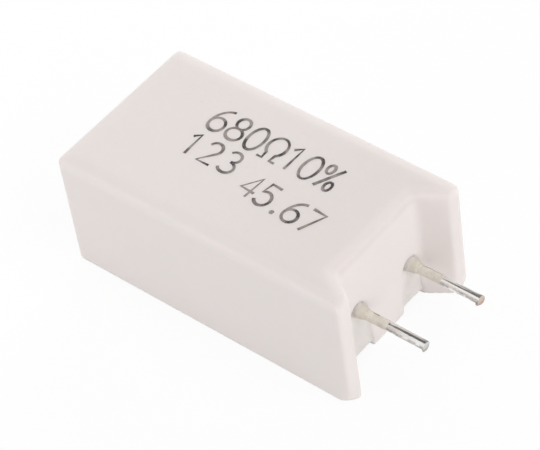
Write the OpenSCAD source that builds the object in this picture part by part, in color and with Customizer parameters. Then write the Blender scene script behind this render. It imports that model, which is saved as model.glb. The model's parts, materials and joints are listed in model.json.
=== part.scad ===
// Upright wire-wound cement resistor with both leads at one end.
// Lengths are in millimetres. The part lies on its open side, marked face up, leads along +X.
// The origin is under the middle of the part, on the surface that it lies on.

/* [Ceramic case] */
// Length over the foot tips
case_l = 24.5; // [23:0.1:28]
// Width over the long sides
case_w = 13; // [12:0.1:16]
// Height from the open rim to the marked face
case_h = 10.1; // [8.5:0.1:13]
// Thickness of the long side walls
side_t = 1.4; // [1:0.05:1.6]
// Thickness of the wall at the closed end
back_t = 1.5; // [1:0.05:2.5]
// Thickness of the end wall that the leads leave through
end_t = 1.5; // [1:0.05:2.5]
// Thickness under the marked face
top_t = 1.5; // [1:0.05:2.5]
// Radius of the upright corners at the closed end
corner_r = 0.35; // [0.2:0.05:1.2]
// Radius of the upright corners inside the trough
pocket_r = 0.8; // [0.3:0.05:1.5]
// Width of the bevel round the marked face
bevel_w = 1; // [0.4:0.05:1.5]
// Depth of the bevel round the marked face
bevel_h = 0.3; // [0.1:0.05:0.8]

/* [Stand-off feet] */
// How far the feet stand out from the end wall
foot_l = 2; // [1.2:0.1:3]
// Thickness of a foot at its root
foot_root_w = 2.4; // [1.8:0.05:2.8]
// Thickness of a foot at its tip
foot_tip_w = 1.1; // [0.9:0.05:1.6]
// Radius of the upright corners of a foot tip
foot_tip_r = 0.2; // [0.1:0.05:0.4]
// Size of the cut at the lower outer corner of a foot tip
foot_cut = 0.9; // [0.3:0.05:1.2]

/* [Leads] */
// Diameter of the lead wire
lead_d = 0.66; // [0.6:0.02:1]
// How far the straight lead reaches past the foot tips
straight_out = 3.5; // [2.5:0.1:8]
// How far the return lead reaches past the foot tips
return_out = 3.8; // [2.5:0.1:8]
// Distance from the foot tips to where the solder coat is full
tin_start = 0.9; // [0.7:0.05:1.5]
// Thickness of the solder coat
tin_t = 0.02; // [0.01:0.01:0.04]
// Length over which the solder coat thins out
tin_fade = 0.6; // [0.55:0.05:0.7]
// How much lower the return lead lies than the straight one
return_drop = 0.65; // [0:0.05:1]
// Radius of the return lead's two bends, at the middle of the wire
bend_r = 1; // [0.8:0.05:1.3]
// Straight stub between the weld and the first bend
stub_l = 0.5; // [0.45:0.05:1]
// Radius of the swelling where a lead is welded to its cap
weld_r = 0.65; // [0.5:0.05:0.9]
// Length of that swelling
weld_l = 0.4; // [0.2:0.05:0.4]

/* [Wound element] */
// Diameter of the core rod
rod_d = 4; // [3:0.1:4.6]
// Chamfer round the rod's ends
rod_chamfer = 0.2; // [0.05:0.05:0.4]
// Sheet thickness of the end caps
cap_t = 0.25; // [0.15:0.01:0.4]
// Length of an end cap
cap_l = 2.8; // [2:0.1:3.5]
// Diameter of the resistance wire
wire_d = 0.1; // [0.06:0.01:0.16]
// Distance between neighbouring turns
wire_pitch = 0.32; // [0.26:0.01:0.5]
// Turns wrapped on each cap, where the wire is welded on
cap_turns = 1.5; // [1:0.5:3]

/* [Cement] */
// Cement between the trough's near wall and the end caps
near_cover = 0.41; // [0.2:0.01:1]
// Cement between the trough's far wall and the return lead
far_cover = 1.6; // [0.8:0.05:2]
// Cement between the end wall and the lead-end cap
end_cover = 1; // [0.5:0.05:2]
// Cement between the closed end's wall and the return lead
back_cover = 0.8; // [0.4:0.05:2]
// How much higher the element lies than the middle of the cement
element_rise = 0.1; // [-0.4:0.05:0.4]
// How far the cement stays below the open rim
fill_drop = 0.3; // [0.1:0.05:0.6]
// Width of the slots that the leads leave through, at their arch
slot_w = 1.4; // [1.3:0.05:2]
// How far a slot's middle lies to the near side of its lead
slot_shift = 0.15; // [0:0.05:0.2]
// Angle at which a slot's sides lean outwards, towards the open side
slot_flare = 5; // [0:0.5:6]
// How far the cement in the slots stays behind the end wall
slot_recess = 0.2; // [0.1:0.05:0.9]
// How far the cement in the slots ends above the open rim
slot_drop = 0.5; // [0.4:0.05:1.5]
// Length of the cement collar round a lead before it tapers
collar_full = 0.2; // [0.1:0.05:0.8]
// Length over which the collar tapers on to the lead
collar_taper = 0.6; // [0.4:0.05:1.2]
// Thickness of the collar where it runs out on the lead
collar_edge = 0.05; // [0.03:0.01:0.1]
// How far the collar reaches below the middle of the lead
collar_drop = 0.42; // [0.4:0.02:0.6]

/* [Fits] */
// Gap between the cement and what it holds or lies in
bond = 0.02; // [0.01:0.01:0.05]
// Gap between the rod and its caps, and under the wire
press = 0.02; // [0.01:0.01:0.04]

/* [Hidden] */
$fn = 64;
past = 1;
// A corner's rounding is this much larger than a tangent circle, so that it crosses the sides cleanly.
round_over = 1.002;
// The slab that bevels a foot's slanted face stands this far clear of it, so that no faces coincide.
bevel_clear = 0.05;
wire_sides = 6;
wire_steps = 12;

lead_r = lead_d / 2;
tin_r = lead_r + tin_t;
rod_r = rod_d / 2;
cap_bore_r = rod_r + press;
cap_r = cap_bore_r + cap_t;
slot_r = slot_w / 2;

overall_l = case_l + max(straight_out, return_out);
block_l = case_l - foot_l;
trough_x0 = back_t;
trough_x1 = block_l - end_t;
trough_l = trough_x1 - trough_x0;
trough_w = case_w - 2 * side_t;
trough_top = case_h - top_t;

// The straight lead is in line with the rod, and the return lead passes beside it.
axis_y = -trough_w / 2 + near_cover + cap_r;
axis_z = (fill_drop + trough_top) / 2 + element_rise;
return_y = trough_w / 2 - far_cover - lead_r;
return_z = axis_z - return_drop;
span = norm([return_y - axis_y, return_drop]);
span_tilt = atan2(-return_drop, return_y - axis_y);

bend_x = trough_x0 + back_cover + lead_r + bend_r;
back_cap_x = bend_x + stub_l;
lead_cap_x = trough_x1 - end_cover;
rod_x0 = back_cap_x + cap_t + press;
rod_x1 = lead_cap_x - cap_t - press;
tin_x = case_l + tin_start;

// The wire's corner points lie further out than its flats, so that the flats clear the rod.
flat_share = cos(180 / wire_steps);
wire_r = wire_d / 2;
coil_r = (rod_r + press + wire_r) / flat_share;
wrap_r = (cap_r + press + wire_r) / flat_share;
coil_x0 = back_cap_x + cap_l;
coil_x1 = lead_cap_x - cap_l;
climb_l = wire_pitch;
climb_gap = wire_r + press;
wrap_l = cap_turns * wire_pitch;
wire_x0 = coil_x0 - wrap_l;
wire_x1 = coil_x1 + wrap_l;
wire_turns = floor((wire_x1 - wire_x0) / wire_pitch);
wire_rings = wire_turns * wire_steps;
wrap_clear_r = wrap_r + wire_r + bond;

// Moves a piece drawn from the case's closed end to the part's own origin.
module placed() {
    translate([-overall_l / 2, 0, 0]) children();
}

// Moves a shape drawn along +X from the closed end on to the straight lead's line.
module on_axis() {
    translate([0, axis_y, axis_z]) children();
}

// A round bar along +X from x0 to x1, which may taper.
module bar(x0, x1, r0, r1) {
    translate([x0, 0, 0]) rotate([0, 90, 0]) cylinder(h = x1 - x0, r1 = r0, r2 = r1);
}

// Rectangle with round corners, by its corner, size and radius.
module round_rectangle(corner, size, r) {
    translate(corner + [r, 0]) square(size - [2 * r, 0]);
    translate(corner + [0, r]) square(size - [0, 2 * r]);
    for (x = [r, size.x - r], y = [r, size.y - r]) translate(corner + [x, y]) circle(r);
}

// What rounding takes off a polygon's corner, between the points before and after it.
module corner_waste(before, corner, after, r) {
    to_before = (before - corner) / norm(before - corner);
    to_after = (after - corner) / norm(after - corner);
    half_angle = acos(to_before * to_after) / 2;
    reach = r / tan(half_angle);
    middle = (to_before + to_after) / norm(to_before + to_after);
    centre = corner + middle * r / sin(half_angle);
    difference() {
        polygon([corner - middle * r, corner + to_before * reach, centre, corner + to_after * reach]);
        translate(centre) circle(r * round_over);
    }
}

// A long upright slab whose top edge is bevelled: its outer face is at y = 0 and it fills y > 0.
module bevelled_side(length, depth) {
    profile = [[0, 0], [depth, 0], [depth, case_h], [bevel_w, case_h], [0, case_h - bevel_h]];
    rotate([90, 0, 90]) linear_extrude(length) polygon(profile);
}

// The space within both long sides' bevels.
module between_long_sides() {
    half = case_w / 2;
    intersection() {
        translate([-past, -half, 0]) bevelled_side(overall_l + 2 * past, case_w);
        mirror([0, 1, 0]) translate([-past, -half, 0])
            bevelled_side(overall_l + 2 * past, case_w);
    }
}

// The main block: square at the lead end, where the feet grow out of it.
module block() {
    intersection() {
        linear_extrude(case_h) difference() {
            translate([0, -case_w / 2]) square([block_l, case_w]);
            for (side = [-1, 1])
                corner_waste([past, side * case_w / 2], [0, side * case_w / 2],
                             [0, 0], corner_r);
        }
        between_long_sides();
        rotate([0, 0, -90]) translate([-case_w, 0, 0]) bevelled_side(2 * case_w, case_l);
        translate([block_l, 0, 0]) rotate([0, 0, 90]) translate([-case_w, 0, 0])
            bevelled_side(2 * case_w, case_l);
    }
}

// The foot on the far side, with its root run back into the block so that the bevels meet.
module foot() {
    half = case_w / 2;
    taper = (foot_root_w - foot_tip_w) / foot_l;
    root_x = block_l - foot_l;
    root_y = half - foot_root_w - taper * foot_l;
    tip_y = half - foot_tip_w;
    outline = [[root_x, half], [case_l, half], [case_l, tip_y], [root_x, root_y]];
    cut_profile = [[-foot_cut / sqrt(2) - past, -past * sqrt(2)], [past, -past * sqrt(2)],
                   [past, foot_cut + past * sqrt(2)]];
    difference() {
        intersection() {
            linear_extrude(case_h) difference() {
                polygon(outline);
                corner_waste(outline[0], outline[1], outline[2], foot_tip_r);
                corner_waste(outline[1], outline[2], outline[3], foot_tip_r);
            }
            between_long_sides();
            translate([case_l, 0, 0]) rotate([0, 0, 90]) translate([-case_w, 0, 0])
                bevelled_side(2 * case_w, case_l);
            translate([case_l, tip_y, 0]) rotate([0, 0, atan(taper)])
                translate([-case_l, -bevel_clear, 0]) bevelled_side(2 * case_l, case_w);
        }
        translate([case_l, half, 0]) rotate([0, 0, 45]) translate([0, case_w / 2, 0])
            rotate([90, 0, 0]) linear_extrude(case_w) polygon(cut_profile);
    }
}

// Plan of the trough, drawn in by a margin all round.
module trough_plan(margin) {
    round_rectangle([trough_x0 + margin, -trough_w / 2 + margin],
                    [trough_l - 2 * margin, trough_w - 2 * margin], pocket_r - margin);
}

// A lead slot: a round arch at the height of the lead, with sides that lean outwards down to z0.
module slot(x0, x1, arch_r, arch_z, z0) {
    shoulder_y = arch_r * cos(slot_flare);
    shoulder_z = arch_z + arch_r * sin(slot_flare);
    mouth_y = arch_r / cos(slot_flare) + (arch_z - z0) * tan(slot_flare);
    translate([x0, 0, 0]) rotate([90, 0, 90]) linear_extrude(x1 - x0) {
        translate([0, arch_z]) circle(arch_r);
        polygon([[-mouth_y, z0], [mouth_y, z0], [shoulder_y, shoulder_z], [-shoulder_y, shoulder_z]]);
    }
}

module ceramic_case() {
    color("#e6dedb") placed() difference() {
        union() {
            block();
            foot();
            mirror([0, 1, 0]) foot();
        }
        translate([0, 0, -past]) linear_extrude(trough_top + past) trough_plan(0);
        translate([0, axis_y - slot_shift, 0])
            slot(trough_x1 - past, case_l + past, slot_r, axis_z, -past);
        translate([0, return_y - slot_shift, 0])
            slot(trough_x1 - past, case_l + past, slot_r, return_z, -past);
    }
}

// Cement in a slot. It stays back from the wall, but round the lead it was drawn out into a collar,
// which leaves the slot on the lead and tapers off.
module slot_cement(y, z) {
    face_x = block_l - slot_recess;
    full_x = face_x + collar_full;
    collar_r = slot_r - slot_shift - bond;
    translate([0, y - slot_shift, 0])
        slot(trough_x1 - past, face_x, slot_r - bond, z, slot_drop);
    translate([0, y, z]) difference() {
        union() {
            bar(face_x, full_x, collar_r, collar_r);
            bar(full_x, full_x + collar_taper, collar_r, lead_r + bond + collar_edge);
        }
        translate([face_x, -collar_r, -collar_drop - case_h])
            cube([collar_full + collar_taper + past, 2 * collar_r, case_h]);
    }
}

module cement_fill() {
    color("#d9d4ce") placed() difference() {
        union() {
            translate([0, 0, fill_drop])
                linear_extrude(trough_top - bond - fill_drop) trough_plan(bond);
            slot_cement(axis_y, axis_z);
            slot_cement(return_y, return_z);
        }
        on_axis() {
            bar(back_cap_x - bond, lead_cap_x + bond, cap_r + bond, cap_r + bond);
            bar(wire_x0 - wire_r - bond, wire_x1 + wire_r + bond, wrap_clear_r, wrap_clear_r);
        }
        lead_from_cap(bond);
        lead_with_bends(bond);
    }
}

module core_rod() {
    color("ivory") placed() on_axis() {
        bar(rod_x0, rod_x0 + rod_chamfer, rod_r - rod_chamfer, rod_r);
        bar(rod_x0 + rod_chamfer, rod_x1 - rod_chamfer, rod_r, rod_r);
        bar(rod_x1 - rod_chamfer, rod_x1, rod_r, rod_r - rod_chamfer);
    }
}

// A pressed cup with its closed end at x = 0 and its mouth towards +X.
module cap() {
    difference() {
        bar(0, cap_l, cap_r, cap_r);
        bar(cap_t, cap_l + past, cap_bore_r, cap_bore_r);
    }
}

module lead_end_cap() {
    color("#b9b4a8") placed() on_axis() translate([lead_cap_x, 0, 0]) mirror([1, 0, 0]) cap();
}

module back_end_cap() {
    color("#b9b4a8") placed() on_axis() translate([back_cap_x, 0, 0]) cap();
}

// How far the wire has climbed on to a cap: 0 on the rod, 1 on the cap.
function climb(x) =
    let (to_cap = min(x - coil_x0, coil_x1 - x))
    min(1, max(0, 1 - (to_cap - climb_gap) / climb_l));

// One ring of points round the wire.
function wire_ring(i) =
    let (turn = i * 360 / wire_steps,
         x = wire_x0 + (wire_x1 - wire_x0) * i / wire_rings,
         r = coil_r + (wrap_r - coil_r) * climb(x))
    [for (k = [0 : wire_sides - 1])
        let (around = k * 360 / wire_sides,
             out = r + wire_r * cos(around))
        [x + wire_r * sin(around), out * cos(turn), out * sin(turn)]];

// The two triangles between neighbouring rings at side k.
function wire_quad(i, k) =
    let (a = i * wire_sides + k,
         b = i * wire_sides + (k + 1) % wire_sides)
    [[a, b, b + wire_sides], [a, b + wire_sides, a + wire_sides]];

module resistance_wire() {
    points = [for (i = [0 : wire_rings]) each wire_ring(i)];
    walls = [for (i = [0 : wire_rings - 1], k = [0 : wire_sides - 1]) each wire_quad(i, k)];
    first_end = [for (k = [0 : wire_sides - 1]) wire_sides - 1 - k];
    last_end = [for (k = [0 : wire_sides - 1]) wire_rings * wire_sides + k];
    color("#8d8680") placed() on_axis()
        polyhedron(points, concat(walls, [first_end, last_end]));
}

// The end of a lead that shows: bare wire, then the solder coat.
module lead_tail(x0, out, margin) {
    bar(x0, tin_x - tin_fade, lead_r + margin, lead_r + margin);
    bar(tin_x - tin_fade, tin_x, lead_r + margin, tin_r + margin);
    bar(tin_x, case_l + out, tin_r + margin, tin_r + margin);
}

// The straight lead, grown by a margin.
module lead_from_cap(margin) {
    on_axis() {
        bar(lead_cap_x, lead_cap_x + weld_l, weld_r + margin, lead_r + margin);
        lead_tail(lead_cap_x + weld_l, straight_out, margin);
    }
}

// A quarter bend from the -X way round to the +Y way, in the plane of the bends.
module quarter_bend(margin) {
    translate([0, bend_r, 0]) rotate([0, 0, 180])
        rotate_extrude(angle = 90) translate([bend_r, 0]) circle(lead_r + margin);
}

// The return lead, grown by a margin: out of the back cap, across, and back past the element.
module lead_with_bends(margin) {
    on_axis() rotate([span_tilt, 0, 0]) {
        bar(back_cap_x - weld_l, back_cap_x, lead_r + margin, weld_r + margin);
        bar(bend_x, back_cap_x - weld_l, lead_r + margin, lead_r + margin);
        translate([bend_x, 0, 0]) quarter_bend(margin);
        translate([bend_x - bend_r, bend_r, 0]) rotate([-90, 0, 0])
            cylinder(h = span - 2 * bend_r, r = lead_r + margin);
        translate([bend_x, span, 0]) mirror([0, 1, 0]) quarter_bend(margin);
        translate([0, span, 0]) lead_tail(bend_x, return_out, margin);
    }
}

module straight_lead() {
    color("silver") placed() lead_from_cap(0);
}

module return_lead() {
    color("silver") placed() lead_with_bends(0);
}

ceramic_case();
cement_fill();
core_rod();
resistance_wire();
lead_end_cap();
back_end_cap();
straight_lead();
return_lead();
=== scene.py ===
# %% [markdown]
# # Dressing a cement resistor
# A cement resistor is a small wound element that lies in a pressed ceramic trough and is buried in
# cement, with two leads that come out at one end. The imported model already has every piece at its
# real size and place. This lesson gives the pieces their looks: soft fired edges, sandy cement,
# leads that go from dull to bright, and a printed face.
#
# Everything is in metres, in the model's own frame, so a piece goes where the model says.

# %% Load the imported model
import json
import math
from collections import namedtuple

import bmesh
import bpy
from mathutils import Matrix, Vector, noise


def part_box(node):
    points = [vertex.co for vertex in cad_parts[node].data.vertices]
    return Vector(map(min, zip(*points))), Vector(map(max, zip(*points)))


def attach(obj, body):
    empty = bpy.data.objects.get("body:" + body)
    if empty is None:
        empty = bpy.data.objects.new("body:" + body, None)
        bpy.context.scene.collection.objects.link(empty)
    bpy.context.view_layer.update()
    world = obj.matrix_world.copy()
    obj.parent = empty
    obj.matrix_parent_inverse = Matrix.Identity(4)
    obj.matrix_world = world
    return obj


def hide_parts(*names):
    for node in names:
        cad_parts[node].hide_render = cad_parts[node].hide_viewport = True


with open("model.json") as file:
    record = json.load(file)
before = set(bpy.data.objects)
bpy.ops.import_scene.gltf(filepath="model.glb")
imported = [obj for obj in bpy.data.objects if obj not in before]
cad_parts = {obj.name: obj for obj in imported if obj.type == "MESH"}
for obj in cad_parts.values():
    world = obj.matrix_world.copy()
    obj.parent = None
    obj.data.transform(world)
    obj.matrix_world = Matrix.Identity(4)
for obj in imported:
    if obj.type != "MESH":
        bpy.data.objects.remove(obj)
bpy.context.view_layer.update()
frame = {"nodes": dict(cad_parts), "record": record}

MM = 0.001
case_low, case_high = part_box("ceramic_case")
case_middle = (case_low + case_high) / 2
scene = bpy.context.scene
print("nodes:", ", ".join(sorted(frame["nodes"])))
print("case size in mm:", [round(side / MM, 2) for side in case_high - case_low])

# %% [markdown]
# ## The camera
# The photograph was taken with a long lens from above the lead end, with the camera a little rolled.
# A camera could be placed by eye, but a direction, a distance and a roll say the same thing in four
# numbers that are easy to change. The aim point is given from the middle of the case, so the view
# stays on the part if the frame's origin moves.

# %% Camera
view_azimuth = math.radians(-44.16)
view_elevation = math.radians(46.53)
view_roll = math.radians(9.32)
view_distance = 183.57 * MM
view_lens = 180.93
aim_from_case = Vector((0.98, -0.32, 0.46)) * MM

aim = case_middle + aim_from_case
to_camera = Vector((
    math.cos(view_elevation) * math.cos(view_azimuth),
    math.cos(view_elevation) * math.sin(view_azimuth),
    math.sin(view_elevation),
))
camera_data = bpy.data.cameras.new("camera")
camera_data.lens = view_lens
camera_data.clip_start = 10 * MM
camera = bpy.data.objects.new("camera", camera_data)
level = (-to_camera).to_track_quat("-Z", "Y").to_matrix().to_4x4()
camera.matrix_world = (
    Matrix.Translation(aim + to_camera * view_distance) @ level @ Matrix.Rotation(-view_roll, 4, "Z")
)
scene.collection.objects.link(camera)
scene.camera = camera
scene.view_settings.view_transform = "Standard"
print("camera at", [round(value / MM, 1) for value in camera.location], "mm")

# %% [markdown]
# ## Where the leads are
# The record's two pin mounts give each lead's line and its radius over the solder, and the node's box
# gives its tip. Only two things are read off the photograph: how far past the feet the dull film
# reaches, and how thick it is.

# %% Lead places
Lead = namedtuple("Lead", "axis_y axis_z tin_r wire_r tip_x film_end film_t")
tin_t = 0.02 * MM
mounts = {mount["name"]: mount for mount in frame["record"]["mounts"]}


def measure_lead(node, mount_name, film_past_feet, film_t):
    mount = mounts[mount_name]
    axis_y, axis_z = mount["pos_m"][1:]
    tin_r = mount["dims"]["r_mm"] * MM
    tip_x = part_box(node)[1].x
    return Lead(axis_y, axis_z, tin_r, tin_r - tin_t, tip_x, case_high.x + film_past_feet, film_t)


near = measure_lead("straight_lead", "straight_lead_pin", 0.30 * MM, 0.035 * MM)
far = measure_lead("return_lead", "return_lead_pin", 0.52 * MM, 0.012 * MM)
past_feet = [round((lead.tip_x - case_high.x) / MM, 2) for lead in (near, far)]
print("leads reach past the feet by", past_feet, "mm")

# %% [markdown]
# ## Sums of sockets
# A material's pattern is a sum of textures, masks and numbers. Dragging Math nodes together by hand
# hides that sum, so one small class wraps a socket and lets Python's own operators add the nodes.
# A second class holds a material's nodes and has the one method that makes every other node.

# %% Sockets that can be added and multiplied
class Value:
    """A node's output that takes part in Python sums."""

    def __init__(self, finish, socket):
        self.finish = finish
        self.socket = socket

    def math(self, operation, first, second=0.0):
        return self.finish.node("ShaderNodeMath", {"operation": operation}, {0: first, 1: second})

    def __add__(self, other):
        return self.math("ADD", self, other)

    def __sub__(self, other):
        return self.math("SUBTRACT", self, other)

    def __rsub__(self, other):
        return self.math("SUBTRACT", other, self)

    def __mul__(self, other):
        return self.math("MULTIPLY", self, other)

    def __abs__(self):
        return self.math("ABSOLUTE", self)

    __radd__ = __add__
    __rmul__ = __mul__


class Finish:
    """The nodes of a material or a world, and the method that adds to them."""

    def __init__(self, owner):
        owner.use_nodes = True
        self.owner = owner
        self.tree = owner.node_tree
        self.tree.nodes.clear()

    def node(self, kind, settings=None, sockets=None, output=0):
        made = self.tree.nodes.new(kind)
        for name, value in (settings or {}).items():
            setattr(made, name, value)
        for name, value in (sockets or {}).items():
            if isinstance(value, Value):
                self.tree.links.new(value.socket, made.inputs[name])
            else:
                made.inputs[name].default_value = value
        return Value(self, made.outputs[output]) if made.outputs else None


def new_finish(name):
    return Finish(bpy.data.materials.new(name))


# %% [markdown]
# The textures below are used by several finishes. Object coordinates are in metres here, so a scale
# of one per millimetre is 1000, and a feature's size can be read off its scale.

# %% Textures that the finishes share
PER_MM = 1000.0
COLOUR_FACTOR, COLOUR_A, COLOUR_B, COLOUR_RESULT = 0, 6, 7, 2


def place_of(finish, stretch=(1.0, 1.0, 1.0)):
    """Object coordinates, stretched where a pattern runs along the piece."""
    place = finish.node("ShaderNodeTexCoord", output="Object")
    return finish.node("ShaderNodeMapping", sockets={"Vector": place, "Scale": stretch})


def along(finish, place, axis):
    """One coordinate of a place."""
    return finish.node("ShaderNodeSeparateXYZ", sockets={"Vector": place}, output=axis)


def cloud(finish, place, per_mm, detail=2.0, rough=0.5):
    """Soft noise between 0 and 1 with that many features in a millimetre."""
    sockets = {"Vector": place, "Scale": per_mm * PER_MM, "Detail": detail, "Roughness": rough}
    return finish.node("ShaderNodeTexNoise", sockets=sockets)


def between(finish, value, low, high):
    """A soft step: 0 below low, 1 above high."""
    return finish.node("ShaderNodeMapRange", {"interpolation_type": "SMOOTHSTEP"},
                       {"Value": value, "From Min": low, "From Max": high})


def tint(finish, share, first, second):
    """A colour that goes from the first to the second with the share."""
    sockets = {COLOUR_FACTOR: share, COLOUR_A: first, COLOUR_B: second}
    return finish.node("ShaderNodeMix", {"data_type": "RGBA"}, sockets, COLOUR_RESULT)


def relief(finish, height, depth):
    """A bump of that depth in metres, for the shader's Normal."""
    return finish.node("ShaderNodeBump", sockets={"Height": height, "Distance": depth, "Strength": 1.0})


def surface(finish, **sockets):
    """Ends the finish with a Principled shader, and returns the material."""
    named = {name.replace("_", " "): value for name, value in sockets.items()}
    shader = finish.node("ShaderNodeBsdfPrincipled", sockets=named)
    finish.node("ShaderNodeOutputMaterial", sockets={"Surface": shader})
    print("finish", finish.owner.name, "has", len(finish.tree.nodes), "nodes")
    return finish.owner


# %% [markdown]
# ## White ceramic
# The case is dry-pressed and fired without a glaze: a warm white that is matt, a little translucent
# at its edges, and grainy only from very close. A white diffuse colour would look like paper, so the
# tone drifts slowly over the case, fine grain goes into colour, gloss and bump, and scattering under
# the surface lets light through the edges and softens the shade in the corners. The marked face has
# painted shade that makes it a touch darker towards the leads, so that its bevel shows there. Its
# edges along the sides have a painted highlight that makes them a touch paler, and the one over the
# leads has painted shade that makes it a touch darker.

# %% Where the marked face and its edges get painted shade and painted highlight
foot_l = 2.0 * MM
end_wall_x = case_high.x - foot_l


def painted_light_masks(finish, place):
    """Masks of painted shade on the marked face towards the leads, of painted highlight on its edges along
    the sides, and of painted shade on its edge over the leads.
    """
    x = along(finish, place, "X")
    y = along(finish, place, "Y")
    below_top = case_high.z - along(finish, place, "Z")
    marked_face = 1 - between(finish, below_top, 0.02 * MM, 0.12 * MM)
    to_leads = between(finish, x, case_middle.x - 4 * MM, case_high.x - 4 * MM)
    near_edge = 1 - between(finish, y, case_low.y, case_low.y + 0.45 * MM)
    far_edge = between(finish, y, case_high.y - 1.1 * MM, case_high.y - 0.5 * MM)
    painted_edge_highlight = (near_edge + far_edge) * (1 - between(finish, below_top, 0.70 * MM, 1.15 * MM))
    painted_lead_edge_shade = between(finish, x, end_wall_x - 0.20 * MM, end_wall_x)
    painted_lead_edge_shade = painted_lead_edge_shade * (1 - between(finish, below_top, 0.45 * MM, 1.10 * MM))
    painted_lead_edge_shade = painted_lead_edge_shade * (1 - between(finish, abs(y - case_middle.y), 3.7 * MM, 4.4 * MM))
    return marked_face * to_leads, painted_edge_highlight, painted_lead_edge_shade


print("end wall at", round(end_wall_x / MM, 2), "mm along X")


# %% Ceramic finish
def ceramic_finish():
    finish = new_finish("white_ceramic")
    place = place_of(finish)
    drift = cloud(finish, place, 0.16, 1.0)
    grain = cloud(finish, place, 7.0, 3.0, 0.6)
    pores = between(finish, cloud(finish, place, 3.1, 1.0), 0.74, 0.80)
    body = tint(finish, drift, (0.778, 0.720, 0.703, 1), (0.760, 0.714, 0.695, 1))
    painted_face_shade, painted_edge_highlight, painted_lead_edge_shade = painted_light_masks(finish, place)
    # Painted highlight: the edges along the sides are made a touch paler.
    body = tint(finish, painted_edge_highlight * 0.10, body, (0.95, 0.92, 0.91, 1))
    # Painted shade: the marked face towards the leads and the edge over them are made darker.
    body = tint(finish, painted_face_shade * 0.07 + painted_lead_edge_shade * 0.19, body, (0.47, 0.42, 0.41, 1))
    body = tint(finish, grain * 0.10, body, (0.69, 0.62, 0.58, 1))
    body = tint(finish, pores * 0.12, body, (0.58, 0.52, 0.47, 1))
    bump = relief(finish, grain - pores * 0.5, 0.010 * MM)
    return surface(finish, Base_Color=body, Roughness=0.52 + grain * 0.16, Normal=bump,
                   Specular_IOR_Level=0.35, Subsurface_Weight=0.4, Subsurface_Scale=0.6 * MM,
                   Subsurface_Radius=(1.0, 0.85, 0.75))


white_ceramic = ceramic_finish()

# %% [markdown]
# ## Cement
# The fill is a fine sandy cement, nearly as pale as the case where it lies back in the slots. Round
# the leads it stands proud as a collar, which is coloured beige. A mask along X that starts at the
# slots' cement face tells the two apart. Clouds of different size give the sand, the slow blotches
# and the darker grains.

# %% Cement finish
slot_recess = 0.2 * MM
slot_face_x = end_wall_x - slot_recess


def cement_finish():
    finish = new_finish("cement")
    place = place_of(finish)
    blotch = cloud(finish, place, 0.5, 2.0)
    sand = cloud(finish, place, 6.0, 4.0, 0.7)
    dark_grains = between(finish, cloud(finish, place, 9.0, 1.0), 0.62, 0.72)
    x = along(finish, place, "X") + (blotch - 0.5) * (0.2 * MM)
    collar = between(finish, x, slot_face_x + 0.05 * MM, slot_face_x + 0.35 * MM)
    pale = tint(finish, blotch, (0.73, 0.685, 0.66, 1), (0.79, 0.75, 0.73, 1))
    beige = tint(finish, blotch, (0.60, 0.555, 0.475, 1), (0.72, 0.675, 0.59, 1))
    body = tint(finish, collar, pale, beige)
    body = tint(finish, sand * 0.25, body, (0.82, 0.79, 0.75, 1))
    body = tint(finish, dark_grains * (0.06 + collar * 0.24), body, (0.42, 0.38, 0.33, 1))
    bump = relief(finish, sand, 0.04 * MM)
    return surface(finish, Base_Color=body, Roughness=0.80 + sand * 0.18, Normal=bump,
                   Specular_IOR_Level=0.25)


cement = cement_finish()

# %% [markdown]
# ## The leads
# Each lead is copper wire. Near the case a thin film of cement and flux makes it dull and beige, and
# further out it has been dipped in solder, which is bright and streaky along the wire. Along the lower
# side the solder is darker in lumps, partly as dross and partly as painted shade. One finish with a
# mask along X does both film and solder, so the edge between them can wander as the real one does. A
# scraped line in the film is a second mask, of the distance from a line along the wire. Towards the
# tip the wire is painted darker, partly as a mark of the cutter and partly as painted shade and a
# painted reflection of the dark streak; along its crest it is left bright, so the highlight runs on
# up to the tip.

# %% Lead finishes
CREST = math.radians(123)


def round_wire(finish, place, lead, angle):
    """How far out a point lies at that angle round the wire, from +Y towards +Z, and how far aside."""
    y = along(finish, place, "Y") - lead.axis_y
    z = along(finish, place, "Z") - lead.axis_z
    return y * math.cos(angle) + z * math.sin(angle), z * math.cos(angle) - y * math.sin(angle)


def scrape_mask(finish, place, lead, start, end, angle):
    """A thin line along the wire from start to end, at that angle round it."""
    x = along(finish, place, "X")
    outward, sideways = round_wire(finish, place, lead, angle)
    thin = 1 - between(finish, abs(sideways), 0.03 * MM, 0.08 * MM)
    length = between(finish, x, start, start + 0.15 * MM) * (1 - between(finish, x, end - 0.15 * MM, end))
    return thin * length * between(finish, outward, 0.0, 0.1 * MM)


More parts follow.
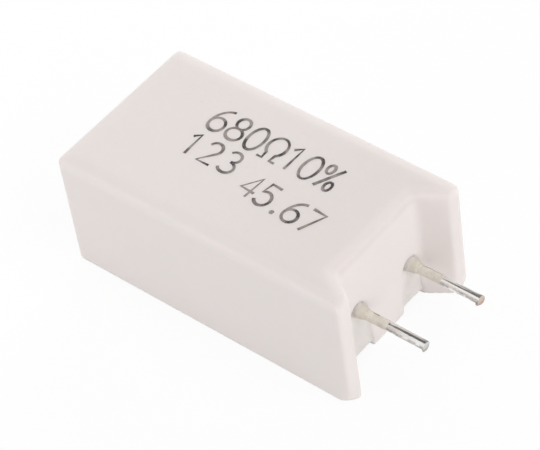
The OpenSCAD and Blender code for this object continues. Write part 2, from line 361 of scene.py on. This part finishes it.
def lead_finish(name, lead, scrape_start, scrape_end, scrape_angle):
    finish = new_finish(name)
    place = place_of(finish)
    x = along(finish, place, "X")
    wander = cloud(finish, place, 1.6, 2.0)
    solder = between(finish, x + (wander - 0.5) * (0.4 * MM), lead.film_end, lead.film_end + 0.12 * MM)
    streaks = cloud(finish, place_of(finish, (0.12, 1.0, 1.0)), 9.0, 3.0, 0.6)
    specks = cloud(finish, place, 2.2, 3.0, 0.6)
    crest, _ = round_wire(finish, place, lead, CREST)
    below = lead.axis_z - along(finish, place, "Z")
    lumps = cloud(finish, place_of(finish, (0.5, 1.0, 1.0)), 4.0, 2.0, 0.6)
    # Darker lumps along the lower side: partly dross, partly painted shade.
    dross_and_shade = between(finish, below, -0.26 * MM, -0.10 * MM) * between(finish, lumps, 0.38, 0.56)
    # Painted darkening near the tip: partly a mark of the cutter, partly painted shade and a painted
    # reflection of the dark streak; left out along the crest.
    tip_x = x + (lumps - 0.5) * (0.3 * MM)
    pinch_mark_and_shade = between(finish, tip_x, lead.tip_x - 0.65 * MM, lead.tip_x - 0.05 * MM)
    pinch_mark_and_shade = pinch_mark_and_shade * (1 - between(finish, crest, 0.18 * MM, 0.33 * MM))
    scrape = scrape_mask(finish, place, lead, scrape_start, scrape_end, scrape_angle)
    specked = between(finish, specks, 0.20, 0.80)
    film = tint(finish, specked, (0.64, 0.59, 0.51, 1), (0.83, 0.78, 0.70, 1))
    film = tint(finish, scrape * 0.9, film, (0.22, 0.19, 0.165, 1))
    bright = tint(finish, streaks, (0.78, 0.77, 0.745, 1), (0.97, 0.96, 0.945, 1))
    bright = tint(finish, dross_and_shade * 0.70, bright, (0.36, 0.35, 0.34, 1))
    bright = tint(finish, pinch_mark_and_shade * 0.75, bright, (0.24, 0.225, 0.215, 1))
    rough = (1 - solder) * 0.62 + solder * (0.08 + wander * 0.16 + streaks * 0.10 + dross_and_shade * 0.15)
    height = (1 - solder) * specks - scrape * 2.0 + solder * (streaks * 0.5 + dross_and_shade)
    return surface(finish, Base_Color=tint(finish, solder, film, bright), Metallic=solder,
                   Roughness=rough, Normal=relief(finish, height, 0.008 * MM))


near_tin = lead_finish("near_tinned_copper", near, case_high.x - 1.05 * MM, case_high.x - 0.40 * MM,
                       math.radians(62))
far_tin = lead_finish("far_tinned_copper", far, case_high.x - 1.30 * MM, case_high.x + 0.50 * MM,
                      math.radians(48))

# %% [markdown]
# The near lead was pinched off after dipping, so its cut is smeared with solder. The far lead was cut
# cleanly: its face is copper, paler above and redder below.

# %% Cut faces
def cut_finish(name, lead, upper, lower):
    finish = new_finish(name)
    place = place_of(finish)
    shear_lines = cloud(finish, place_of(finish, (1.0, 1.0, 0.15)), 12.0, 2.0)
    smear = cloud(finish, place, 4.0, 2.0)
    down = lead.axis_z - along(finish, place, "Z") + (smear - 0.5) * (0.3 * MM)
    body = tint(finish, between(finish, down, -0.05 * MM, 0.20 * MM), upper, lower)
    return surface(finish, Base_Color=body, Metallic=0.8, Roughness=0.34 + shear_lines * 0.2,
                   Normal=relief(finish, shear_lines, 0.01 * MM))


cut_solder = cut_finish("cut_solder", near, (0.66, 0.64, 0.62, 1), (0.46, 0.445, 0.43, 1))
cut_copper = cut_finish("cut_copper", far, (0.63, 0.53, 0.45, 1), (0.55, 0.38, 0.33, 1))

# %% [markdown]
# ## Pieces
# Every new piece ends the same way: its mesh is written, it gets its finishes, it rides on the
# part's one body, and the nodes of the model that it stands for are hidden.

# %% Turning a bmesh into a piece
SHARP = math.radians(40)


def keep_piece(bm, name, finishes, stands_for=()):
    mesh = bpy.data.meshes.new(name)
    bm.to_mesh(mesh)
    bm.free()
    mesh.shade_smooth()
    mesh.set_sharp_from_angle(angle=SHARP)
    for finish in finishes:
        mesh.materials.append(finish)
    piece = bpy.data.objects.new(name, mesh)
    scene.collection.objects.link(piece)
    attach(piece, "root")
    if stands_for:
        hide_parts(*stands_for)
    print(name, "has", len(mesh.polygons), "faces")
    return piece


def merged_copy(node):
    """A copy of a node's mesh, with the corners of its loose triangles joined."""
    bm = bmesh.new()
    bm.from_mesh(frame["nodes"][node].data)
    bmesh.ops.remove_doubles(bm, verts=bm.verts, dist=0.001 * MM)
    return bm


# %% [markdown]
# ## The case
# Pressed powder can't hold a sharp edge, and firing softens it again, so every edge of the case is
# round by a few tenths of a millimetre. A bevel would need a clean edge loop round the feet, slots
# and trough. A voxel remesh of the model's own solid followed by smoothing rounds them all alike,
# as the tumbling of the fired parts does.

# %% Case
case_voxel = 0.18 * MM
case_smoothing = 10


def evaluated_mesh(piece):
    """A mesh with the piece's modifiers and bevels applied."""
    return bpy.data.meshes.new_from_object(piece.evaluated_get(bpy.context.evaluated_depsgraph_get()))


def fired_case():
    bm = merged_copy("ceramic_case")
    rough = bpy.data.meshes.new("case_rough")
    bm.to_mesh(rough)
    bm.free()
    blank = bpy.data.objects.new("case_blank", rough)
    scene.collection.objects.link(blank)
    remesh = blank.modifiers.new("voxels", "REMESH")
    remesh.mode = "VOXEL"
    remesh.voxel_size = case_voxel
    smooth = blank.modifiers.new("firing", "SMOOTH")
    smooth.factor = 0.5
    smooth.iterations = case_smoothing
    fired = evaluated_mesh(blank)
    bpy.data.objects.remove(blank)
    soft = bmesh.new()
    soft.from_mesh(fired)
    bpy.data.meshes.remove(fired)
    bpy.data.meshes.remove(rough)
    return keep_piece(soft, "fired_case", [white_ceramic], ["ceramic_case"])


case = fired_case()

# %% [markdown]
# ## The cement
# The cement shows in the two slots, round the leads, and on the open side. It was poured, so its
# skin is lumpy, it sinks a little away from the walls as it dries, and it has a few burst bubbles.
# The model's solid already has the right form. The faces that show are cut into a fine grid with
# bisecting planes, and their points are then moved, so the skin is real geometry and not only bump.

# %% Cement tools
grid = 0.25 * MM
slot_grid = 0.12 * MM
cement_low, cement_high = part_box("cement_fill")
slot_start_x = slot_face_x - 0.7 * MM


def cut_into_strips(bm, axis, start, end, step, picked):
    """Cuts the picked faces with planes across one axis."""
    normal = Vector((0, 0, 0))
    normal[axis] = 1
    for index in range(1, int((end - start) / step)):
        point = normal * (start + index * step)
        faces = [face for face in bm.faces if picked(face.calc_center_median())]
        edges = {edge for face in faces for edge in face.edges}
        corners = {vert for face in faces for vert in face.verts}
        bmesh.ops.bisect_plane(bm, geom=[*corners, *edges, *faces], dist=0.001 * MM,
                               plane_co=point, plane_no=normal)


def on_underside(place):
    return place.z < cement_low.z + 0.01 * MM


def in_slots(place):
    return place.x > slot_start_x


# %% Cement
skin_depth = 0.035 * MM
sink_depth = 0.14 * MM
sink_reach = 1.2 * MM
bubble_depth = 0.12 * MM
crevice_depth = 0.45 * MM
crevice_way = Vector((0, -0.85, 0.53))
wall_reach = Vector((0.13, 0.10, 0)) * MM


def sink(place):
    """How far the drying cement has sunk at a point of its underside."""
    to_wall = min(place.x - cement_low.x, slot_start_x - place.x,
                  place.y - cement_low.y, cement_high.y - place.y)
    bubble = noise.noise(place / (0.9 * MM))
    burst = min(1.0, max(0.0, (bubble - 0.62) / 0.1))
    return sink_depth * (1 - math.exp(-max(0.0, to_wall) / sink_reach)) + bubble_depth * burst


def shape_slot_face(vert):
    """Opens the crevice beside and over the collar, and lets the cement climb the slot's far wall."""
    lead = min((near, far), key=lambda each: abs(vert.co.y - each.axis_y))
    out = Vector((0, vert.co.y - lead.axis_y, vert.co.z - lead.axis_z)).normalized()
    share = min(1.0, max(0.0, (out.dot(crevice_way) - 0.35) / 0.4))
    vert.co.x -= crevice_depth * share
    if vert.normal.y > 0.5:
        vert.co += wall_reach


def poured_cement():
    bm = merged_copy("cement_fill")
    bmesh.ops.dissolve_limit(bm, angle_limit=math.radians(0.5), verts=bm.verts, edges=bm.edges)
    for axis in (0, 1):
        cut_into_strips(bm, axis, cement_low[axis], cement_high[axis], grid, on_underside)
    for axis in (0, 1, 2):
        start = max(cement_low[axis], slot_start_x) if axis == 0 else cement_low[axis]
        cut_into_strips(bm, axis, start, cement_high[axis], slot_grid, in_slots)
    bm.normal_update()
    for vert in bm.verts:
        under = on_underside(vert.co)
        if not under and vert.co.x < slot_face_x - 0.05 * MM:
            continue
        lump = noise.fractal(vert.co / (0.55 * MM), 1.0, 2.0, 3)
        depth = sink(vert.co) if under else 0.0
        at_slot_face = abs(vert.co.x - slot_face_x) < 0.02 * MM
        vert.co += vert.normal * (lump * skin_depth - depth)
        if at_slot_face and not under:
            shape_slot_face(vert)
    return keep_piece(bm, "poured_cement", [cement], ["cement_fill"])


filled = poured_cement()

# %% [markdown]
# ## Building a lead
# A lead is one wire, so it is built as a wiremaker would: a circle is pulled along, spun round each
# bend, and pulled on past the tip. Rings every tenth of a millimetre along the stretch that shows let
# the film and the solder be a little uneven. The wire is then cut to length with one plane for each
# face that the cutter left, and the cutter draws out a small burr on the lower side.

# %% Pulling and bending wire
bend_r = 1.0 * MM
weld_l = 0.4 * MM
lead_sides = 32
ring_step = 0.1 * MM
shown_from = slot_face_x - 0.2 * MM


def ring_at(bm, centre, radius, direction):
    """A ring of edges round a point of the wire, square to its direction."""
    turn = Vector(direction).to_track_quat("Z", "Y").to_matrix().to_4x4()
    bmesh.ops.create_circle(bm, segments=lead_sides, radius=radius, matrix=Matrix.Translation(centre) @ turn)
    return list(bm.edges)


def pull(bm, ring, step, grow=1.0):
    """Extrudes the ring by a step, and scales its far end about its own middle."""
    made = bmesh.ops.extrude_edge_only(bm, edges=ring)["geom"]
    corners = [part for part in made if isinstance(part, bmesh.types.BMVert)]
    bmesh.ops.translate(bm, vec=step, verts=corners)
    middle = sum((vert.co for vert in corners), Vector()) / len(corners)
    bmesh.ops.scale(bm, vec=(grow, grow, grow), space=Matrix.Translation(-middle), verts=corners)
    fresh = set(corners)
    return [part for part in made if isinstance(part, bmesh.types.BMEdge) and fresh.issuperset(part.verts)]


def bend(bm, ring, pivot, axis, steps=10):
    """Spins the ring a quarter turn round a bend's pivot."""
    spun = bmesh.ops.spin(bm, geom=ring, cent=pivot, axis=axis, angle=math.radians(90), steps=steps)
    return [part for part in spun["geom_last"] if isinstance(part, bmesh.types.BMEdge)]


# %% The stretch that shows
def coated_radius(lead, place, out):
    """The wire's radius at a point: film first, then solder."""
    coat = min(1, max(0, (place.x - lead.film_end) / (0.15 * MM)))
    lumps = noise.noise(place / (0.45 * MM)) * 0.008 * MM
    waves = noise.noise(Vector((place.x / (1.5 * MM), *(out / (0.5 * MM)).yz))) * 0.005 * MM
    film_r = lead.wire_r + lead.film_t + lumps
    solder_r = lead.tin_r - 0.005 * MM + waves
    return film_r + (solder_r - film_r) * coat


def pull_out_tail(bm, ring, start_x, lead):
    """The straight stretch up to just past the tip, with a ring at every step of what shows."""
    end_x = lead.tip_x + 2 * lead.tin_r
    pulled = pull(bm, ring, Vector((shown_from - start_x, 0, 0)))
    count = round((end_x - shown_from) / ring_step)
    for _ in range(count):
        pulled = pull(bm, pulled, Vector(((end_x - shown_from) / count, 0, 0)))
    axis = Vector((0, lead.axis_y, lead.axis_z))
    for vert in bm.verts:
        out = Vector((0, vert.co.y, vert.co.z)) - axis
        if vert.co.x < shown_from + ring_step / 2 or out.length > 2 * lead.tin_r:
            continue
        vert.co += out.normalized() * (coated_radius(lead, vert.co, out) - out.length)


# %% Cutting a lead to length
def cut_tip(bm, lead, facets, burr):
    """Cuts the wire with one plane a facet, closes and eases the cut, and draws out the burr."""
    tip = Vector((lead.tip_x, lead.axis_y, lead.axis_z))
    for back, (turn_y, turn_z) in facets:
        direction = Vector((1.0, math.tan(math.radians(turn_y)), math.tan(math.radians(turn_z))))
        cut = bmesh.ops.bisect_plane(bm, geom=[*bm.verts, *bm.edges, *bm.faces], dist=0.0005 * MM,
                                     plane_co=tip - Vector((back, 0, 0)), clear_outer=True,
                                     plane_no=direction.normalized())
        rim = [part for part in cut["geom_cut"] if isinstance(part, bmesh.types.BMEdge)]
        for face in bmesh.ops.holes_fill(bm, edges=rim, sides=0)["faces"]:
            face.material_index = 1
    edges = {edge for face in bm.faces if face.material_index == 1 for edge in face.edges}
    bmesh.ops.bevel(bm, geom=list(edges), offset=0.03 * MM, offset_type="OFFSET", segments=2,
                    profile=0.5, affect="EDGES", material=-1)
    burr_way = Vector((0, burr.y, burr.z)).normalized()
    for vert in bm.verts:
        at_cut = vert.co.x > lead.tip_x - 0.20 * MM
        reach = (vert.co - tip).dot(burr_way) / lead.tin_r
        if at_cut and reach > 0.85:
            vert.co += burr * ((reach - 0.85) / 0.15)
    bmesh.ops.recalc_face_normals(bm, faces=bm.faces)


# %% Straight lead
def build_straight_lead():
    low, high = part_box("straight_lead")
    weld_r = (high.z - low.z) / 2
    bm = bmesh.new()
    ring = ring_at(bm, Vector((low.x, near.axis_y, near.axis_z)), weld_r, (1, 0, 0))
    bmesh.ops.contextual_create(bm, geom=ring)
    ring = pull(bm, ring, Vector((weld_l, 0, 0)), near.wire_r / weld_r)
    pull_out_tail(bm, ring, low.x + weld_l, near)
    cut_tip(bm, near, [(0.01 * MM, (-6, 3)), (0.01 * MM, (8, -2))], Vector((0, -0.09, -0.06)) * MM)
    return keep_piece(bm, "near_lead", [near_tin, cut_solder], ["straight_lead"])


near_lead = build_straight_lead()


# %% Return lead
def build_return_lead():
    low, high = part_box("return_lead")
    cap_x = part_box("back_end_cap")[0].x
    weld_r = high.z - near.axis_z
    bend_x = low.x + far.wire_r + bend_r
    first = Vector((bend_x, near.axis_y, near.axis_z))
    last = Vector((bend_x, far.axis_y, far.axis_z))
    across = last - first
    sideways = across.normalized()
    bend_axis = Vector((-1, 0, 0)).cross(sideways)
    bm = bmesh.new()
    ring = ring_at(bm, Vector((cap_x, near.axis_y, near.axis_z)), weld_r, (-1, 0, 0))
    bmesh.ops.contextual_create(bm, geom=ring)
    ring = pull(bm, ring, Vector((-weld_l, 0, 0)), far.wire_r / weld_r)
    ring = pull(bm, ring, Vector((bend_x - cap_x + weld_l, 0, 0)))
    ring = bend(bm, ring, first + sideways * bend_r, bend_axis)
    ring = pull(bm, ring, sideways * (across.length - 2 * bend_r))
    ring = bend(bm, ring, last - sideways * bend_r, bend_axis)
    pull_out_tail(bm, ring, bend_x, far)
    cut_tip(bm, far, [(0.05 * MM, (-4, 5))], Vector((-0.04, -0.12, -0.05)) * MM)
    return keep_piece(bm, "far_lead", [far_tin, cut_copper], ["return_lead"])


far_lead = build_return_lead()

# %% [markdown]
# ## The printed face
# The real part is printed with a thin pen-like stroke. Only plain numbers, an ohm sign and a percent
# sign go there. Blender's text would give an outline font, so each character is drawn as strokes, and
# a curve with a round bevel follows them. The curve becomes a mesh and is pressed flat. Its widest
# line lies in the face of the fired case, so a film of ink a few thousandths of a millimetre thick
# stands proud.

# %% Ink finish
def ink_finish():
    finish = new_finish("marking_ink")
    place = place_of(finish)
    thin = cloud(finish, place, 0.9, 2.0)
    bite = cloud(finish, place, 9.0, 3.0, 0.7)
    body = tint(finish, between(finish, thin, 0.36, 0.62), (0.058, 0.050, 0.047, 1), (0.31, 0.27, 0.25, 1))
    body = tint(finish, between(finish, bite, 0.50, 0.72) * 0.6, body, (0.48, 0.43, 0.40, 1))
    return surface(finish, Base_Color=body, Roughness=0.55 + bite * 0.2, Specular_IOR_Level=0.3)


marking_ink = ink_finish()


# %% Strokes of the characters
def arc(x, y, rx, ry, start, end, steps=14):
    """Points along part of an ellipse, in degrees."""
    angles = [math.radians(start + (end - start) * step / steps) for step in range(steps + 1)]
    return [(x + rx * math.cos(angle), y + ry * math.sin(angle)) for angle in angles]


STROKES = {
    "0": [arc(0.30, 0.50, 0.28, 0.50, 90, 450, 24)],
    "1": [[(0.12, 0.80), (0.36, 1.0), (0.36, 0.0)]],
    "2": [arc(0.30, 0.73, 0.26, 0.27, 165, -40) + [(0.03, 0.0), (0.58, 0.0)]],
    "3": [arc(0.27, 0.76, 0.25, 0.24, 150, -90), arc(0.27, 0.26, 0.30, 0.26, 90, -155)],
    "4": [[(0.44, 0.0), (0.44, 1.0), (0.02, 0.30), (0.60, 0.30)]],
    "5": [[(0.54, 1.0), (0.12, 1.0), (0.06, 0.55)] + arc(0.27, 0.32, 0.29, 0.32, 125, -150, 18)],
    "6": [arc(0.56, 0.30, 0.54, 0.70, 95, 180) + arc(0.30, 0.29, 0.28, 0.29, 180, 540, 20)],
    "7": [[(0.02, 1.0), (0.58, 1.0), (0.20, 0.0)]],
    "8": [arc(0.30, 0.76, 0.22, 0.24, -90, 270, 20), arc(0.30, 0.27, 0.28, 0.26, 90, 450, 20)],
    ".": [arc(0.20, 0.04, 0.04, 0.04, 0, 360, 8)],
    "%": [[(0.06, 0.0), (0.56, 1.0)], arc(0.13, 0.80, 0.12, 0.19, 90, 450),
          arc(0.49, 0.19, 0.12, 0.19, 90, 450)],
    "Ω": [[(0.0, 0.0), (0.20, 0.0)] + arc(0.35, 0.60, 0.33, 0.40, 238, -58, 20) + [(0.50, 0.0), (0.70, 0.0)]],
}
NARROW = {".": 0.68}

# %% Marking
pen_r = 0.114 * MM
ink_film = 0.006 * MM
Mark = namedtuple("Mark", "text x y height advance tilt")
MARKS = [
    Mark("680Ω10%", -5.55, 1.30, 2.2, 1.60, -1.5),
    Mark("123", -5.70, -1.40, 2.0, 1.70, 0.5),
    Mark("45.67", 0.15, -2.24, 2.0, 1.45, -4.3),
]


def draw_mark(pen, mark):
    """Adds a mark's strokes to the pen's curve, in millimetres from the middle of the face."""
    turn = Matrix.Rotation(math.radians(mark.tilt), 2)
    start = Vector((mark.x, mark.y))
    shift = 0.0
    for character in mark.text:
        for stroke in STROKES[character]:
            spline = pen.splines.new("POLY")
            spline.points.add(len(stroke) - 1)
            for point, (x, y) in zip(spline.points, stroke):
                place = start + turn @ Vector((shift + x * mark.height, y * mark.height))
                point.co = (case_middle.x + place.x * MM, case_middle.y + place.y * MM, 0.0, 1.0)
                point.radius = 1.0 + 0.28 * noise.noise(Vector((place.x * 1.1, place.y * 1.1, 3.0)))
        shift += mark.advance * NARROW.get(character, 1.0)


def print_marks():
    pen = bpy.data.curves.new("marking_pen", "CURVE")
    pen.dimensions = "3D"
    pen.bevel_depth = pen_r
    pen.bevel_resolution = 2
    pen.use_fill_caps = True
    for mark in MARKS:
        draw_mark(pen, mark)
    drawn = bpy.data.objects.new("marking_drawn", pen)
    scene.collection.objects.link(drawn)
    flat = evaluated_mesh(drawn)
    bpy.data.objects.remove(drawn)
    bm = bmesh.new()
    bm.from_mesh(flat)
    bpy.data.meshes.remove(flat)
    face_z = max(vert.co.z for vert in case.data.vertices)
    bmesh.ops.scale(bm, vec=(1.0, 1.0, ink_film / pen_r), verts=bm.verts)
    bmesh.ops.translate(bm, vec=(0.0, 0.0, face_z), verts=bm.verts)
    return keep_piece(bm, "printed_marks", [marking_ink])


marks = print_marks()

# %% [markdown]
# ## The pieces inside
# The rod, the winding and the two caps are sealed in the cement. Their solids are right as they are,
# so they only get finishes: glass-white rod, slightly oxidised alloy wire, and satin plated caps with
# faint drawing lines.

# %% Inner finishes
def rod_finish():
    finish = new_finish("rod_ceramic")
    place = place_of(finish, (0.3, 1.0, 1.0))
    fibre = cloud(finish, place, 6.0, 3.0)
    body = tint(finish, fibre, (0.66, 0.64, 0.57, 1), (0.78, 0.76, 0.70, 1))
    return surface(finish, Base_Color=body, Roughness=0.55 + fibre * 0.2,
                   Normal=relief(finish, fibre, 0.01 * MM))


def metal_finish(name, dark, light, gloss, stretch):
    finish = new_finish(name)
    lines = cloud(finish, place_of(finish, stretch), 8.0, 3.0)
    stain = cloud(finish, place_of(finish), 0.7, 2.0)
    body = tint(finish, lines * 0.5 + stain * 0.5, dark, light)
    return surface(finish, Base_Color=body, Metallic=1.0, Roughness=gloss + lines * 0.2,
                   Normal=relief(finish, lines, 0.006 * MM))


inner_finishes = {
    "core_rod": rod_finish(),
    "resistance_wire": metal_finish("resistance_alloy", (0.20, 0.18, 0.16, 1), (0.42, 0.40, 0.37, 1),
                                    0.35, (1.0, 1.0, 1.0)),
    "lead_end_cap": metal_finish("cap_steel", (0.46, 0.45, 0.42, 1), (0.66, 0.65, 0.61, 1),
                                 0.25, (0.15, 1.0, 1.0)),
}
inner_finishes["back_end_cap"] = inner_finishes["lead_end_cap"]
for node_name, material in inner_finishes.items():
    node_object = frame["nodes"][node_name]
    for material_slot in node_object.material_slots:
        material_slot.material = material
    print(node_name, "is finished in", material.name)

# %% [markdown]
# ## Studio
# The photograph is a cut-out on white. The shading on the part says how it was lit: softly from all
# round, with one lamp high over the lead end and one low in front of it that light the end wall down
# to its foot, one behind the far side that catches the far bevel, one low on the near side, and a
# weak one over the closed end. The floor and the world are white wherever the camera or a reflection
# looks at them, and the floor keeps part of the part's shadow.

# %% Floor
floor_half = 900 * MM
floor_glow = 0.90


def seen_directly(finish):
    """1 where the camera, a mirror or glass looks, and 0 for the light that falls on the part."""
    kinds = ("Camera", "Glossy", "Transmission")
    looks = [finish.node("ShaderNodeLightPath", output=f"Is {kind} Ray") for kind in kinds]
    return looks[0].math("MINIMUM", looks[0] + looks[1] + looks[2], 1.0)


def floor_finish():
    finish = new_finish("floor_white")
    matt = finish.node("ShaderNodeBsdfDiffuse", sockets={"Color": (0.90, 0.90, 0.90, 1)})
    glow = finish.node("ShaderNodeEmission", sockets={"Color": (1, 1, 1, 1), "Strength": 1.0})
    share = seen_directly(finish) * floor_glow
    both = finish.node("ShaderNodeMixShader", sockets={0: share, 1: matt, 2: glow})
    finish.node("ShaderNodeOutputMaterial", sockets={"Surface": both})
    return finish.owner


def lay_floor():
    bm = bmesh.new()
    bmesh.ops.create_grid(bm, x_segments=2, y_segments=2, size=floor_half)
    mesh = bpy.data.meshes.new("floor")
    bm.to_mesh(mesh)
    bm.free()
    mesh.materials.append(floor_finish())
    floor = bpy.data.objects.new("floor", mesh)
    scene.collection.objects.link(floor)
    return floor


floor = lay_floor()

# %% World and lamps
tent_strength = 0.443


def white_tent():
    finish = Finish(bpy.data.worlds.new("white_tent"))
    strength = seen_directly(finish) * (1.0 - tent_strength) + tent_strength
    sky = finish.node("ShaderNodeBackground", sockets={"Color": (1, 1, 1, 1), "Strength": strength})
    finish.node("ShaderNodeOutputWorld", sockets={"Surface": sky})
    return finish.owner


scene.world = white_tent()


def soft_lamp(name, azimuth, elevation, distance, size, power):
    """A square lamp that looks at the case from that direction, and that mirrors don't show."""
    lamp = bpy.data.lights.new(name, "AREA")
    lamp.shape = "SQUARE"
    lamp.size = size
    lamp.energy = power
    turn = Matrix.Rotation(math.radians(azimuth), 3, "Z") @ Matrix.Rotation(-math.radians(elevation), 3, "Y")
    towards = turn @ Vector((1, 0, 0))
    holder = bpy.data.objects.new(name, lamp)
    holder.matrix_world = (
        Matrix.Translation(case_middle + towards * distance)
        @ (-towards).to_track_quat("-Z", "Y").to_matrix().to_4x4()
    )
    holder.visible_glossy = False
    scene.collection.objects.link(holder)
    return holder


far_lamp = soft_lamp("far_lamp", 110, 20, 0.45, 0.35, 0.988)
front_lamp = soft_lamp("front_lamp", 5, 50, 0.45, 0.30, 0.868)
low_lamp = soft_lamp("low_lamp", -15, 3, 0.45, 0.15, 0.542)
near_lamp = soft_lamp("near_lamp", -115, 14, 0.20, 0.15, 0.128)
back_lamp = soft_lamp("back_lamp", 180, 35, 0.12, 0.06, 0.0224)
print("lamps:", [lamp.name for lamp in (far_lamp, front_lamp, low_lamp, near_lamp, back_lamp)])

# %% [markdown]
# Bright metal only looks like metal if it has something dark to mirror. A dark card hangs overhead,
# where only reflections see it, and becomes the dark streak along the top of the solder. A grey one
# beyond it shades the metal from the streak to the upper edge.

# %% Cards for the metal to mirror
def hang_card(name, place, width, length, tone):
    finish = new_finish(name)
    matt = finish.node("ShaderNodeEmission", sockets={"Color": (*tone, 1), "Strength": 1.0})
    finish.node("ShaderNodeOutputMaterial", sockets={"Surface": matt})
    bm = bmesh.new()
    bmesh.ops.create_grid(bm, x_segments=1, y_segments=1, size=0.5)
    bmesh.ops.scale(bm, vec=(length, width, 1.0), verts=bm.verts)
    bmesh.ops.translate(bm, vec=case_middle + place, verts=bm.verts)
    mesh = bpy.data.meshes.new(name)
    bm.to_mesh(mesh)
    bm.free()
    mesh.materials.append(finish.owner)
    card = bpy.data.objects.new(name, mesh)
    card.visible_camera = False
    card.visible_diffuse = False
    card.visible_shadow = False
    card.visible_transmission = False
    scene.collection.objects.link(card)
    return card


overhead_card = hang_card("overhead_card", Vector((-0.20, 0.118, 0.30)), 0.364, 0.50, (0.13, 0.13, 0.13))
far_card = hang_card("far_card", Vector((-0.35, 0.70, 0.30)), 0.80, 0.90, (0.42, 0.42, 0.42))
